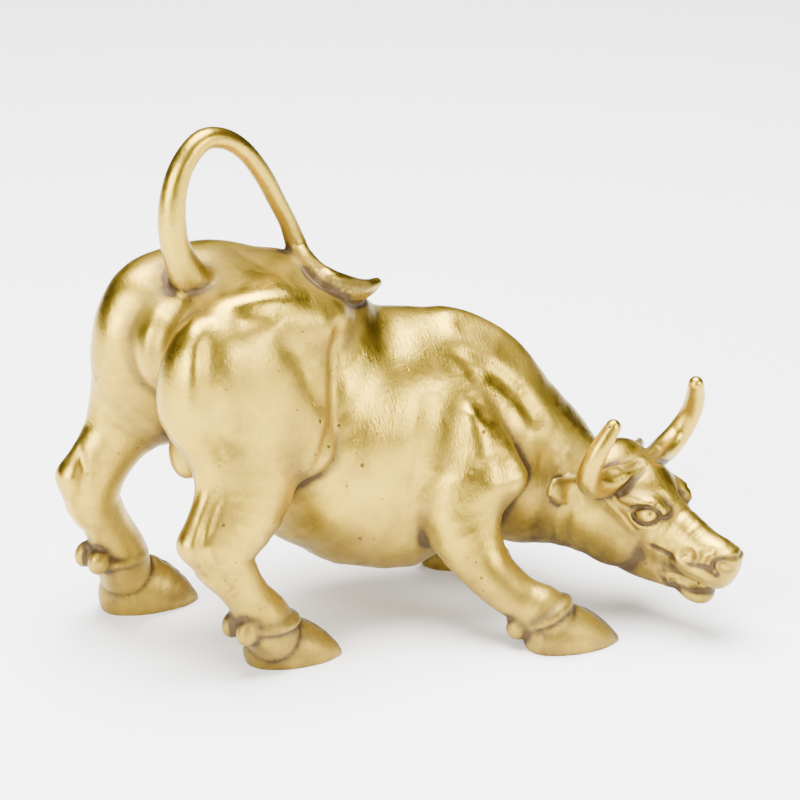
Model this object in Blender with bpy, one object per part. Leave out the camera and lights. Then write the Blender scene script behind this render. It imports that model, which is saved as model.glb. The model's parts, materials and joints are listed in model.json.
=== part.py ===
# Small cast-brass figure of a charging bull, made as one solid.
# The bull is modelled in clay first: every muscle is a soft egg or a tapered limb, and neighbours melt
# together. The clay is skinned, creases are pressed in, and the skin is thinned to a light solid.
# Lengths are in hundredths of the figure's length, and places are given in the frame of a body section:
# forward of it, to the left of it, and above the ground.
# The section frames turn along the spine, because the bull bends to its right.

import math

import bmesh
import bpy
import numpy as np
from mathutils import Euler, Matrix, Vector

# Driving sizes, in metres
FIGURE_LENGTH = 0.100  # from the hind quarters to the muzzle, along the bend of the spine
SOLE_CUT = 0.0004  # taken off the rounded hooves, so that each stands on a flat sole
SKIN_STEP = 0.0008  # spacing of the skin before it is thinned
SOLID_FACES = 8800

UNIT = FIGURE_LENGTH / 100

# Sizes that can be set by themselves, in metres
TAIL_RADIUS = 0.0022
HORN_RADIUS = 0.0022
EAR_LENGTH = 0.007
HOOF_LENGTH = 0.0135
HOOF_WIDTH = 0.0096
CUFF_LENGTH = 0.011
CUFF_WIDTH = 0.0092
CUFF_HEIGHT = 0.0036
EYE_RADIUS = 0.0016

FAR = 1e3

# A crease is read at this many steps, and its depth fades out towards both ends
CREASE_STEPS = 30
FADE = np.minimum(1, 1.6 * np.sin(np.linspace(0.06, np.pi - 0.06, CREASE_STEPS)))

# Section of the body: where it stands in plan, and its turn to the left of the X axis in degrees
SECTIONS = {
    "pelvis": ((-33.0, -2.3), 8.0),
    "loin": ((-22.5, -1.6), -2.0),
    "ribs": ((-12.0, -3.0), -12.0),
    "withers": ((-1.5, -6.2), -22.0),
    "chest": ((7.9, -11.0), -32.0),
    "neck": ((18.0, -20.0), -48.0),
    "poll": ((26.4, -28.9), -68.0),
}
HORN_LINE_HEIGHT = 0.025
HEAD_PITCH = 34.0


def units(metres):
    return metres / UNIT


def section_frame(name):
    if name == "head":
        level = section_frame("poll") @ Matrix.Translation((0, 0, units(HORN_LINE_HEIGHT)))
        return level @ Matrix.Rotation(math.radians(HEAD_PITCH), 4, "Y")
    (x, y), turn = SECTIONS[name]
    return Matrix.Translation((x, y, 0)) @ Matrix.Rotation(math.radians(turn), 4, "Z")


def place(section, point):
    return np.array(section_frame(section) @ Vector(point))


def smooth_min(a, b, blend):
    overlap = np.maximum(blend - np.abs(a - b), 0.0) / blend
    return np.minimum(a, b) - overlap**3 * blend / 6


def spline(points, count):
    """Catmull-Rom curve through rows of numbers, read at count even steps."""
    rows = np.asarray(points, float)
    padded = np.vstack([2 * rows[0] - rows[1], rows, 2 * rows[-1] - rows[-2]])
    where = np.linspace(0, len(rows) - 1, count)
    first = np.minimum(where.astype(int), len(rows) - 2)
    t = (where - first)[:, None]
    p0, p1, p2, p3 = (padded[first + k] for k in range(4))
    return 0.5 * (
        2 * p1 + (p2 - p0) * t + (2 * p0 - 5 * p1 + 4 * p2 - p3) * t**2 + (3 * p1 - p0 - 3 * p2 + p3) * t**3
    )


def even_rows(rows):
    """Reads a limb's rows closely enough for its beads to overlap."""
    rows = np.asarray(rows, float)
    length = np.linalg.norm(np.diff(rows[:, :3], axis=0), axis=1).sum()
    return spline(rows, int(np.clip(2.2 * length / rows[:, 3:5].min(), 8, 90)))


class Lump:
    """Clay forms that melt together by their own blends, then join the rest of the figure by one blend."""

    def __init__(self, blend):
        self.blend = blend
        self.forms = []

    def reach(self, blend):
        """How far from its own skin a form can still shape the figure."""
        return 1.8 * max(blend, self.blend)

    def ball(self, section, centre, radii, turn=(0, 0, 0), blend=4.0, cut=False):
        """An egg. turn is roll, pitch and yaw in degrees, in the section's frame."""
        frame = section_frame(section) @ Matrix.Translation(centre)
        frame = frame @ Euler([math.radians(a) for a in turn], "XYZ").to_matrix().to_4x4()
        self.forms.append(Ball(frame, np.array(radii, float), blend, cut, self.reach(blend)))

    def pair(self, section, centre, radii, turn=(0, 0, 0), blend=4.0, cut=False):
        """The same egg on the left and on the right of the section."""
        for side in (1, -1):
            roll, pitch, yaw = turn
            mirrored = (centre[0], side * centre[1], centre[2])
            self.ball(section, mirrored, radii, (side * roll, pitch, side * yaw), blend, cut)

    def limb(self, stations, blend=4.0, cut=False, side=None):
        """A tapered limb. A station is section, point, half its width and half its depth."""
        rows = []
        for section, point, half_width, half_depth in stations:
            left = np.array(section_frame(section).to_3x3() @ Vector(side or (0, 1, 0)))
            rows.append([*place(section, point), half_width, half_depth, *left])
        self.forms.append(Limb(even_rows(rows), blend, cut, self.reach(blend)))

    def distance(self, points):
        value = np.full(len(points), FAR)
        for form in self.forms:
            near = form.near(points)
            if not len(near):
                continue
            found = form.distance(points[near])
            if form.cut:
                value[near] = -smooth_min(-value[near], found, form.blend)
            else:
                value[near] = smooth_min(value[near], found, form.blend)
        return value


class Ball:
    def __init__(self, frame, radii, blend, cut, reach):
        self.frame, self.radii, self.blend, self.cut = frame, radii, blend, cut
        self.turn = np.array(frame.to_3x3())
        self.centre = np.array(frame.translation)
        reach += radii.max()
        self.low, self.high = self.centre - reach, self.centre + reach

    def near(self, points):
        return np.flatnonzero(((points > self.low) & (points < self.high)).all(axis=1))

    def distance(self, points):
        local = (points - self.centre) @ self.turn
        k0 = np.linalg.norm(local / self.radii, axis=1)
        k1 = np.linalg.norm(local / self.radii**2, axis=1)
        return k0 * (k0 - 1) / np.maximum(k1, 1e-9)

    def beads(self):
        yield self.frame @ Matrix.Diagonal((*self.radii, 1))


class Limb:
    def __init__(self, rows, blend, cut, reach):
        self.centre, self.half = rows[:, :3], np.maximum(rows[:, 3:5], 0.2)
        self.blend, self.cut = blend, cut
        reach += self.half.max()
        self.low, self.high = self.centre.min(0) - reach, self.centre.max(0) + reach
        run = np.diff(self.centre, axis=0)
        self.length = np.linalg.norm(run, axis=1)
        self.along = run / self.length[:, None]
        left = rows[:-1, 5:8] - (rows[:-1, 5:8] * self.along).sum(axis=1)[:, None] * self.along
        self.left = left / np.linalg.norm(left, axis=1)[:, None]
        self.depth = np.cross(self.along, self.left)

    near = Ball.near

    def distance(self, points):
        value = np.zeros((len(points), len(self.along)))
        ends = self.half[:-1].min(axis=1)
        sizes = (ends, self.half[:-1, 0], self.half[:-1, 1])
        for axis, size in zip((self.along, self.left, self.depth), sizes):
            value += ((points @ axis.T - (self.centre[:-1] * axis).sum(axis=1)) / size) ** 2
        nearest = value.argmin(axis=1)
        return np.minimum(self.span(points, nearest - 1), self.span(points, nearest))

    def span(self, points, first):
        """Distance from the span between two stations, the one that starts at each point's first."""
        i = np.clip(first, 0, len(self.length) - 1)
        offset = points - self.centre[i]
        run = (offset * self.along[i]).sum(axis=1)
        t = np.clip(run / self.length[i], 0, 1)
        width, thick = (self.half[i] + t[:, None] * (self.half[i + 1] - self.half[i])).T
        past = run - t * self.length[i]
        end = np.minimum(width, thick)
        u = (offset * self.left[i]).sum(axis=1)
        v = (offset * self.depth[i]).sum(axis=1)
        k0 = np.sqrt((u / width) ** 2 + (v / thick) ** 2 + (past / end) ** 2)
        k1 = np.sqrt((u / width**2) ** 2 + (v / thick**2) ** 2 + (past / end**2) ** 2)
        return k0 * (k0 - 1) / np.maximum(k1, 1e-9)

    def beads(self):
        for i in range(len(self.centre)):
            k = min(i, len(self.along) - 1)
            width, thick = self.half[i]
            turn = Matrix((self.along[k], self.left[k], self.depth[k])).transposed().to_4x4()
            size = Matrix.Diagonal((min(width, thick), width, thick, 1))
            yield Matrix.Translation(self.centre[i]) @ turn @ size


class Figure:
    def __init__(self):
        self.lumps = []
        self.lines = []

    def lump(self, blend):
        self.lumps.append(Lump(blend))
        return self.lumps[-1]

    def crease(self, points, width, depth, sides=(1, -1)):
        """Presses a crease along the points, or raises a ridge where depth is below nothing. It fades out
        at both ends. A point is section, forward, out to the side and up."""
        for side in sides:
            self.press([place(section, (x, side * y, z)) for section, x, y, z in points], width, depth)

    def press(self, points, width, depth):
        path = self.settle(spline(points, CREASE_STEPS), 6, bare=True)
        self.lines.append((path, width, depth))

    def distance(self, points, bare=False):
        value = np.full(len(points), FAR)
        for lump in self.lumps:
            value = smooth_min(value, lump.distance(points), lump.blend)
        for path, width, depth in [] if bare else self.lines:
            reach = 3 * width
            near = ((points > path.min(0) - reach) & (points < path.max(0) + reach)).all(axis=1)
            near = np.flatnonzero(near)
            if len(near):
                square = (points[near] ** 2).sum(axis=1)[:, None] + (path**2).sum(axis=1)
                gap = np.maximum(square - 2 * points[near] @ path.T, 0)
                fade = FADE[gap.argmin(axis=1)]
                value[near] += depth * fade * np.exp(-gap.min(axis=1) / width**2)
        return value

    def settle(self, points, rounds, bare=False):
        """Moves points along the clay's slope until they lie on its surface."""
        step = 0.06
        corners = np.array([(1, -1, -1), (-1, -1, 1), (-1, 1, -1), (1, 1, 1)], float)
        points = np.array(points, float)
        for _ in range(rounds):
            found = [self.distance(points + step * c, bare) for c in corners]
            slope = sum(c * f[:, None] for c, f in zip(corners, found)) / (4 * step)
            steep = np.maximum((slope**2).sum(axis=1), 0.05)
            move = np.clip(sum(found) / 4 / steep, -1.5, 1.5)
            points -= move[:, None] * slope
        return points


def model_torso(figure):
    body = figure.lump(4.0)
    body.limb(
        [
            ("pelvis", (-7, 0, 50.5), 9, 8.5),
            ("pelvis", (0, 0, 49.7), 13, 11.8),
            ("pelvis", (8, 0, 47), 14, 15.3),
            ("loin", (1, 0, 42), 14, 17.2),
            ("loin", (6.5, 0, 36.7), 16, 16),
            ("ribs", (-1.5, 0, 31.4), 17, 18),
            ("ribs", (1.5, 0, 29.5), 17.5, 20.9),
            ("withers", (-2, 0, 28.1), 16.5, 21.5),
            ("withers", (5, 0, 29.1), 14, 18.1),
            ("chest", (1, 0, 26), 12, 15),
            ("chest", (7, 0, 23.5), 10, 12),
        ]
    )
    for side in (1, -1):
        body.ball("pelvis", (1.2 - 0.5 * side, side * 7.5, 55 + 1.1 * side), (11, 7.4, 7), blend=5)
        body.ball("pelvis", (9.6, side * 10.2, 54.2 + 0.4 * side), (5.6, 4.6, 4), blend=6)
    body.ball("pelvis", (-7, 8.2, 55.9), (8, 6.2, 6.4), blend=5)
    body.ball("withers", (5.2, 0, 41.3), (10, 6, 8.2), blend=6)
    body.ball("chest", (2.5, 0, 37.5), (6.5, 4, 8), blend=5)
    body.ball("chest", (7, 0, 20.6), (8, 8.5, 9.6), blend=5)
    return body


def model_shoulders(figure):
    for side in (1, -1):
        blade = figure.lump(2.0)
        blade.limb(
            [
                ("withers", (3, side * 6, 43), 3, 3),
                ("withers", (6, side * 11, 35), 4, 5.5),
                ("chest", (1, side * 13, 25), 4.5, 7.5),
            ],
            blend=4,
        )


def model_neck(figure):
    neck = figure.lump(5.0)
    neck.limb(
        [
            ("withers", (4, 0, 36.4), 8, 11.0),
            ("chest", (3, 0, 28.7), 9, 11.0),
            ("chest", (9, 0, 23.0), 8.5, 10.6),
            ("neck", (1, 0, 20.3), 7.5, 9.4),
            ("neck", (7, 0, 18.0), 6.8, 8.3),
            ("poll", (-2, 0, 17.5), 6.2, 7.8),
        ]
    )


def model_hind_leg(figure, side, ham, heel, stifle, bones, dewclaw):
    """ham, heel and stifle are forward and up; bones run from the hip to the coronet, with half their width
    and half their depth."""
    thigh = figure.lump(1.6)
    hip = bones[0]
    thigh.ball("pelvis", (hip[0], side * 9, 44.8), (11, 7.8, 14), blend=4)
    thigh.ball("pelvis", (ham[0], side * 8.5, ham[1]), (8.8, 6.7, 11.5), blend=5)
    tendon = [
        (ham[0] - 3.5, 9, ham[1] - 3, 4.5, 5),
        (0.45 * ham[0] + 0.55 * heel[0] + 2.0, 11.5, 0.5 * (ham[1] + heel[1]) + 1.5, 3.8, 3.9),
        (0.2 * ham[0] + 0.8 * heel[0] + 3.1, 12.6, 0.3 * ham[1] + 0.7 * heel[1], 2.8, 3.1),
        (heel[0], 13.6, heel[1], 2.5, 2.6),
    ]
    thigh.limb([("pelvis", (x, side * y, z), w, d) for x, y, z, w, d in tendon], blend=3)
    front = [(9, 10.5, 54, 3, 3), (stifle[0] + 0.5, 12.5, 43, 4.5, 5), (stifle[0], 13, stifle[1], 5, 5.2)]
    thigh.limb([("pelvis", (x, side * y, z), w, d) for x, y, z, w, d in front], blend=4)
    thigh.limb([("pelvis", (x, side * y, z), w, d) for x, y, z, w, d in bones], blend=4)
    hock = bones[2]
    heel_bone = [(heel[0], 13.6, heel[1], 2.5, 2.6), (hock[0] + 1, 13.8, hock[2] - 3.5, 3, 3.4)]
    thigh.limb([("pelvis", (x, side * y, z), w, d) for x, y, z, w, d in heel_bone], blend=2)
    for out in (-1.9, 1.9):
        x, z = dewclaw
        thigh.ball("pelvis", (x + 0.3, side * (15.2 + out), z - 0.2), (1.9, 1.6, 2.2), (0, 24, 0), blend=1.4)


def model_fore_leg(figure, bones, dewclaw):
    leg = figure.lump(3.0)
    leg.limb([("chest", (x, y, z), w, d) for x, y, z, w, d in bones])
    x, y, z = dewclaw
    for out in (-1.9, 1.9):
        leg.ball("chest", (x + 0.3, y + out, z), (1.9, 1.6, 2.0), (0, 30, 0), blend=1.4)


def model_cuff(figure, section, centre, pitch, share=1.0):
    """The pastern's swollen lower edge, which overhangs the hoof. share is of the full cuff's length."""
    cuff = figure.lump(0.5)
    size = (share * units(CUFF_LENGTH), units(CUFF_WIDTH), units(CUFF_HEIGHT))
    cuff.ball(section, centre, [side / 2 for side in size], (0, pitch, 0))


def model_hoof(figure, heel, turn, height):
    """A hoof that tapers to the toe. heel is the middle of the heel on the ground, height is its instep's."""
    frame = Matrix.Translation((heel[0], heel[1], 0)) @ Matrix.Rotation(math.radians(turn), 4, "Z")
    left = np.array(frame.to_3x3() @ Vector((0, 1, 0)))
    rows = []
    for ahead, up, half_width, half_depth in (
        (0.19, 0.30, 0.92, 0.58),
        (0.40, 0.28, 1.0, 0.72),
        (0.68, 0.17, 0.86, 0.51),
        (0.92, 0.07, 0.48, 0.25),
    ):
        point = frame @ Vector((ahead * units(HOOF_LENGTH), 0, up * height))
        rows.append([*point, half_width * units(HOOF_WIDTH) / 2, half_depth * height, *left])
    hoof = figure.lump(0.5)
    hoof.forms.append(Limb(even_rows(rows), 1.0, False, hoof.reach(1.0)))
    cleft = [(1.02, 0.0), (0.94, 0.32), (0.8, 0.6), (0.62, 0.9)]
    cleft = [frame @ Vector((ahead * units(HOOF_LENGTH), 0, up * height)) for ahead, up in cleft]
    figure.press(cleft, 0.6, 0.7)


def model_head(figure):
    head = figure.lump(1.8)
    head.ball("head", (3.4, 0, -2.6), (7.0, 5.9, 5.7))
    head.limb(
        [
            ("head", (2, 0, -5), 5.9, 7),
            ("head", (8, 0, -5.0), 5.0, 6.6),
            ("head", (13, 0, -3.2), 4.1, 5.4),
            ("head", (17, 0, -2.1), 3.8, 4.6),
            ("head", (20.0, 0, -0.9), 3.7, 4.4),
        ],
        blend=3,
    )
    head.ball("head", (21.2, 0, 0.9), (1.8, 3.5, 2.6), blend=1.2)
    head.ball("head", (19.1, 0, -7.0), (3.9, 3.1, 2.6), blend=1.2)
    for side in (1, -1):
        head.ball("head", (3.8, side * 4.6, -8.6), (6.2, 2.5, 6.0), (side * 6, 0, side * -4), blend=1.6)
        head.limb(
            [
                ("head", (3, side * 2.5, -10.5), 3.0, 4.4),
                ("head", (9, side * 2.2, -10.2), 2.6, 3.5),
                ("head", (15.5, side * 1.6, -7.9), 2.2, 2.3),
            ],
            blend=2,
        )
        head.limb(
            [
                ("head", (1.4, side * 5.2, -2.2), 1.0, 0.9),
                ("head", (4.2, side * 4.8, -0.2), 1.2, 1.0),
                ("head", (6.6, side * 3.9, 1.0), 1.3, 1.0),
                ("head", (8.9, side * 3.0, 1.2), 1.0, 0.8),
            ],
            blend=1.2,
        )
        head.limb(
            [
                ("head", (15.6, side * 3.3, -3.2), 1.2, 1.3),
                ("head", (18.8, side * 3.3, -1.7), 1.2, 1.3),
                ("head", (21.2, side * 2.6, -0.9), 1.1, 1.2),
            ],
            blend=1.2,
        )
        head.ball("head", (7.2, side * 6.5, -1.2), (3.4, 1.5, 1.9), (0, -43, side * -12), blend=0.8, cut=True)
        head.ball("head", (16.6, side * 4.6, -0.6), (1.3, 1.3, 1.0), blend=0.8, cut=True)
        head.ball("head", (18.7, side * 4.2, 1.0), (0.7, 1.0, 1.4), blend=0.8, cut=True)
    eyes = figure.lump(0.3)
    radius = units(EYE_RADIUS)
    eyes.pair("head", (7.2, 4.3, -0.9), (1.25 * radius, radius, radius), (0, -43, 0), blend=0.3)
    cap = figure.lump(1.0)
    cap.ball("head", (-2.4, 0, -1.1), (4.2, 5.4, 3.3))


def model_horns(figure):
    for side in (1, -1):
        horn = figure.lump(1.0)
        rows = []
        for ahead, out, up, radius in (
            (1.0, 0.5, 0.5, 0.75),
            (0.5, 4.5, 0.3, 0.9),
            (-0.5, 8.5, 0.1, 1.0),
            (-0.2, 12.2, 1.8, 0.92),
            (1.2, 13.7, 5.3, 0.8),
            (2.5, 13.1, 8.7, 0.72),
            (3.6, 11.5, 11.8, 0.58),
        ):
            up += units(HORN_LINE_HEIGHT)
            radius *= units(HORN_RADIUS)
            rows.append(("poll", (ahead, side * out, up), radius, radius))
        horn.limb(rows, side=(1, 0, 0))
        ear = figure.lump(0.6)
        droop = 0.6 * side
        root = (-2.4, side * 6.2, -5.4)
        middle = (-3.8, side * (6.2 + 0.5 * units(EAR_LENGTH)), -5.6 - droop)
        tip = (-5.2, side * (6.2 + units(EAR_LENGTH)), -5.4 - 2 * droop)
        ear.limb(
            [("head", root, 1.6, 1.2), ("head", middle, 2.8, 1.3), ("head", tip, 1.7, 0.7)],
            side=(-0.5, 0, 0.85),
        )
        hollow = (middle[0] + 1.5, middle[1] + 0.6 * side, middle[2] + 0.9)
        ear.ball("head", hollow, (1.1, 2.2, 1.7), (0, -30, side * 20), blend=0.5, cut=True)


def model_tail(figure):
    tail = figure.lump(1.2)
    rows = []
    for ahead, out, up, radius in (
        (-3.0, 0, 57.5, 1.7),
        (-5.6, 0, 60.5, 1.4),
        (-8.2, 0, 65.8, 1.06),
        (-9.0, 0, 70.3, 1.0),
        (-8.6, 0, 75.0, 0.93),
        (-6.8, 0, 79.4, 0.85),
        (-3.2, 0, 82.5, 0.8),
        (0.9, 0, 82.0, 0.74),
        (4.7, 0, 79.3, 0.68),
        (8.0, 0, 74.9, 0.67),
        (10.4, 0, 70.5, 0.65),
        (12.7, 0, 66.1, 0.64),
        (13.9, -0.3, 62.6, 0.76),
        (13.9, -1.5, 61.2, 0.74),
        (13.5, -4.0, 60.1, 0.82),
        (12.8, -7.0, 59.5, 0.93),
        (12.9, -9.5, 58.9, 1.02),
        (15.7, -10.0, 57.5, 0.98),
        (19.5, -9.0, 56.0, 0.82),
        (22.2, -8.0, 55.5, 0.6),
        (24.4, -7.4, 55.6, 0.38),
    ):
        radius *= units(TAIL_RADIUS)
        rows.append(("pelvis", (ahead, out, up), radius, radius))
    tail.limb(rows)


def model_scrotum(figure):
    scrotum = figure.lump(1.0)
    scrotum.limb([("pelvis", (-3.5, 0, 40), 2.4, 2.4), ("pelvis", (-6.5, 0, 35), 2.2, 2.2)])
    scrotum.ball("pelvis", (-7.3, 0, 32), (2.6, 3.1, 3.8))


def carve(figure, section, points, width, depth, sides=(1, -1)):
    figure.crease([(section, *point) for point in points], width, depth, sides)


def carve_rump(figure):
    cleft = [(-7.6, -1.2, 59.8), (-10.8, -2, 56.4), (-13, -2.6, 52), (-13.4, -2.8, 47), (-12, -2.4, 42)]
    carve(figure, "pelvis", cleft, 1.5, 1.5, sides=(1,))
    edge = [(-8.2, 7.1, 58.5), (-5.5, 8.6, 59.4), (-2.4, 10.7, 59.8), (2.4, 11.9, 59.6), (7.4, 12.3, 58.9)]
    carve(figure, "pelvis", edge, 1.9, -0.5, sides=(-1,))
    under_edge = [(-6.3, 11, 57.3), (-2.8, 12.4, 57.4), (1.7, 13.4, 57)]
    carve(figure, "pelvis", under_edge, 1.8, 0.4)
    valley = [(0.4, 14.8, 56.5), (2.7, 15.4, 51.6), (4.6, 16.3, 47.1), (6.3, 17.1, 43.4), (7.8, 17.1, 40.3)]
    carve(figure, "pelvis", valley, 2.1, 0.7)
    flank = [(10.3, 14.8, 57.5), (11.1, 13.9, 51.1), (9.7, 15.4, 45.3)]
    flank += [(8.6, 16.8, 39.4), (6.4, 17.9, 35.3), (4, 17, 31)]
    carve(figure, "pelvis", flank, 1.3, 1.0)
    rear_band = [(-8.8, 6.7, 58.2), (-12.7, 11.1, 55.9), (-14.4, 12.5, 51.9)]
    rear_band += [(-15.1, 13.1, 46.6), (-14.6, 13.6, 41)]
    carve(figure, "pelvis", rear_band, 1.8, -0.5, sides=(-1,))
    rear_groove = [(-9.6, 9.6, 57.6), (-11.7, 12.9, 54), (-12.2, 14.5, 48.8)]
    rear_groove += [(-11.3, 15, 42.2), (-10, 15.5, 37)]
    carve(figure, "pelvis", rear_groove, 2.0, 0.7)


def carve_hocks(figure):
    outer = [(-11.2, 15.4, 33.5), (-13.4, 15.4, 29.4), (-14.8, 15.8, 26.9), (-16, 16.5, 23.6)]
    outer += [(-14.2, 16.4, 19.8), (-10.6, 16.9, 15.2)]
    carve(figure, "pelvis", outer, 0.85, 1.1, sides=(-1,))
    carve(figure, "pelvis", [(x - 4.5, y, z + 3) for x, y, z in outer], 0.85, 1.1, sides=(1,))
    left_inner = [(-19.2, 12.6, 33), (-19.7, 10.6, 29.2), (-19.9, 10.4, 25.9)]
    left_inner += [(-19.9, 11.2, 22.8), (-17.6, 12.1, 17.5)]
    carve(figure, "pelvis", left_inner, 0.85, 0.8, sides=(1,))


def carve_shoulders(figure):
    blade_top = [("withers", 5.6, 4.6, 48.4), ("withers", 9.3, 3.2, 48)]
    blade_top += [("chest", 2.7, 2.6, 46), ("chest", 7.5, 2.6, 40.6)]
    figure.crease(blade_top, 2.2, 0.45)
    blade_low = [("withers", 3.3, 6.1, 47.5), ("withers", 5, 7.6, 45.7), ("withers", 9, 7.9, 43.2)]
    blade_low += [("chest", 4.9, 6.5, 40), ("chest", 8.9, 7.4, 35.3), ("chest", 10.2, 8.2, 32.3)]
    figure.crease(blade_low, 1.5, 0.9)
    arm_top = [("withers", 3.1, 11.1, 42.8), ("withers", 5.7, 11.7, 41.2), ("chest", -1, 11.9, 39.6)]
    arm_top += [("chest", 0.6, 12.4, 37.9), ("chest", 1.9, 13.4, 35.6)]
    figure.crease(arm_top, 1.4, 0.7)
    arm_bulge = [(-1.6, 12.9, 38.8), (0.3, 14.2, 35.8), (1, 15.4, 32.7), (0.4, 16.8, 29.3)]
    carve(figure, "chest", arm_bulge, 2.0, -0.6)
    behind_arm = [(1.8, 12.1, 41.7), (2.5, 13.9, 38.2), (1.7, 15.4, 33.8)]
    behind_arm += [(-0.1, 16.6, 29.3), (-1.8, 16.7, 24.4)]
    carve(figure, "withers", behind_arm, 2.6, 0.9)
    carve(figure, "chest", [(4.8, 13.4, 31), (5.1, 15.2, 26), (4.6, 14, 17)], 2.0, 0.6)


def carve_neck(figure):
    rear_fold = [(-1.2, 7, 31.1), (-0.3, 7.7, 26.4), (-1.1, 8.7, 21.5), (-2.7, 7.6, 15.6)]
    carve(figure, "neck", rear_fold, 1.6, 0.5)
    carve(figure, "neck", [(2.9, 5.5, 30.2), (3.8, 7.6, 25.2), (3.5, 7.4, 19.8)], 1.6, 0.5)
    jaw_rear = [(-2.6, 9.5, -4.5), (-2.3, 9.5, -7), (-1.2, 8.5, -11), (0.6, 7, -14.4)]
    carve(figure, "head", jaw_rear, 0.9, 1.0)
    mouth = [(14.6, 4.2, -7.6), (18.2, 3.6, -6.1), (21.6, 2, -4.4), (22.9, 0, -3.9)]
    carve(figure, "head", mouth, 0.55, 0.8)


HIND_RIGHT = (
    (-1, 9.5, 42, 6.5, 11),
    (-4.8, 12.6, 28.6, 5.4, 7.4),
    (-10.4, 13.6, 21.5, 4.0, 5.3),
    (-8.6, 14.2, 16.8, 3.4, 4.0),
    (-6.4, 14.8, 12.8, 3.3, 3.6),
    (-4.2, 15.3, 8.8, 4.0, 4.5),
    (-2.6, 15.6, 5.6, 4.1, 4.1),
)
HIND_LEFT = (
    (-3.5, 9.5, 43, 6.5, 9.5),
    (-12.8, 12.0, 31.5, 4.4, 5.0),
    (-16.2, 13.6, 23.8, 4.0, 4.7),
    (-14.1, 14.2, 18.8, 3.6, 3.9),
    (-12.0, 14.8, 14.9, 3.6, 4.0),
    (-10.2, 15.3, 10.8, 4.2, 4.5),
    (-9.2, 15.6, 7.4, 4.2, 4.3),
)
FORE_RIGHT = (
    (-1.8, -12.5, 25.5, 5.2, 7.9),
    (-1.8, -14.8, 18.8, 4.6, 6.2),
    (1.4, -16.4, 13.0, 3.9, 4.4),
    (5.0, -17.8, 9.6, 3.7, 3.9),
    (8.0, -18.5, 7.7, 3.5, 3.7),
    (10.6, -19, 6.2, 4.0, 4.3),
    (12.2, -19.3, 4.8, 3.9, 4.0),
)
FORE_LEFT = (
    (-2, 11.5, 25, 5.2, 7.5),
    (-5, 13, 18, 4.6, 5.6),
    (-4.6, 13.1, 13, 3.9, 4.4),
    (-4.6, 12.9, 10, 3.7, 3.9),
    (-4.6, 12.6, 8, 3.4, 3.6),
    (-4.2, 12.3, 6, 3.9, 4.2),
    (-3.7, 12.1, 4.6, 3.9, 4.0),
)


def model_bull():
    figure = Figure()
    model_torso(figure)
    model_shoulders(figure)
    model_neck(figure)
    model_hind_leg(figure, -1, (-8.5, 46.8), (-15.5, 23.8), (5.6, 34.8), HIND_RIGHT, (-8.7, 8.5))
    model_hind_leg(figure, 1, (-8.8, 49.5), (-19.5, 27.2), (1.5, 38.0), HIND_LEFT, (-15.8, 11.6))
    model_fore_leg(figure, FORE_RIGHT, (6.7, -18.5, 3.9))
    model_fore_leg(figure, FORE_LEFT, (-8.7, 12.2, 3.4))
    model_cuff(figure, "pelvis", (-3.5, -15.5, 8.3), 2)
    model_cuff(figure, "pelvis", (-10.9, 15.4, 10.7), 0)
    model_cuff(figure, "chest", (11.6, -19.2, 6.3), -28, share=0.8)
    model_cuff(figure, "chest", (-4.0, 12.2, 7.0), -15, share=0.8)
    model_hoof(figure, (-35.3, -15.4), -14, 7.3)
    model_hoof(figure, (-46.2, 13.6), -12, 8.9)
    model_hoof(figure, (5.2, -33.0), -14, 7.0)
    model_hoof(figure, (7.3, 3.4), -22, 7.0)
    model_head(figure)
    model_horns(figure)
    model_tail(figure)
    model_scrotum(figure)
    carve_rump(figure)
    carve_hocks(figure)
    carve_shoulders(figure)
    carve_neck(figure)
    return figure


def skin_object(figure, step):
    """Joins an icosphere for every bead of clay, and remeshes them into one closed skin."""
    egg = bmesh.new()
    bmesh.ops.create_icosphere(egg, subdivisions=3, radius=1)
    round_points = np.array([(*v.co, 1) for v in egg.verts])
    round_faces = np.array([[v.index for v in f.verts] for f in egg.faces])
    egg.free()
    forms = [form for lump in figure.lumps for form in lump.forms if not form.cut]
    beads = [np.array(bead) for form in forms for bead in form.beads()]
    points = np.concatenate([round_points @ bead.T[:, :3] for bead in beads])
    faces = np.concatenate([round_faces + k * len(round_points) for k in range(len(beads))])
    mesh = bpy.data.meshes.new("skin")
    mesh.from_pydata(points.tolist(), [], faces.tolist())
    skin = bpy.data.objects.new("skin", mesh)
    bpy.context.scene.collection.objects.link(skin)
    remesh = skin.modifiers.new("Remesh", "REMESH")
    remesh.mode = "VOXEL"
    remesh.voxel_size = step
    return skin


def applied_mesh(obj):
    graph = bpy.context.evaluated_depsgraph_get()
    mesh = bpy.data.meshes.new_from_object(obj.evaluated_get(graph))
    bpy.data.objects.remove(obj)
    return mesh


def keep_outer_shell(shape):
    """Keeps the largest connected skin, without the small hollows left between beads or in a sole."""
    unseen = set(shape.verts)
    shells = []
    while unseen:
        shell = {unseen.pop()}
        border = list(shell)
        while border:
            near = {edge.other_vert(v) for v in border for edge in v.link_edges}
            border = near & unseen
            unseen -= border
            shell |= border
        shells.append(shell)
    largest = max(shells, key=len)
    bmesh.ops.delete(shape, geom=[v for v in shape.verts if v not in largest], context="VERTS")


def mesh_points(mesh):
    flat = np.empty(len(mesh.vertices) * 3, np.float32)
    mesh.vertices.foreach_get("co", flat)
    return flat.reshape(-1, 3).astype(float)


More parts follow.
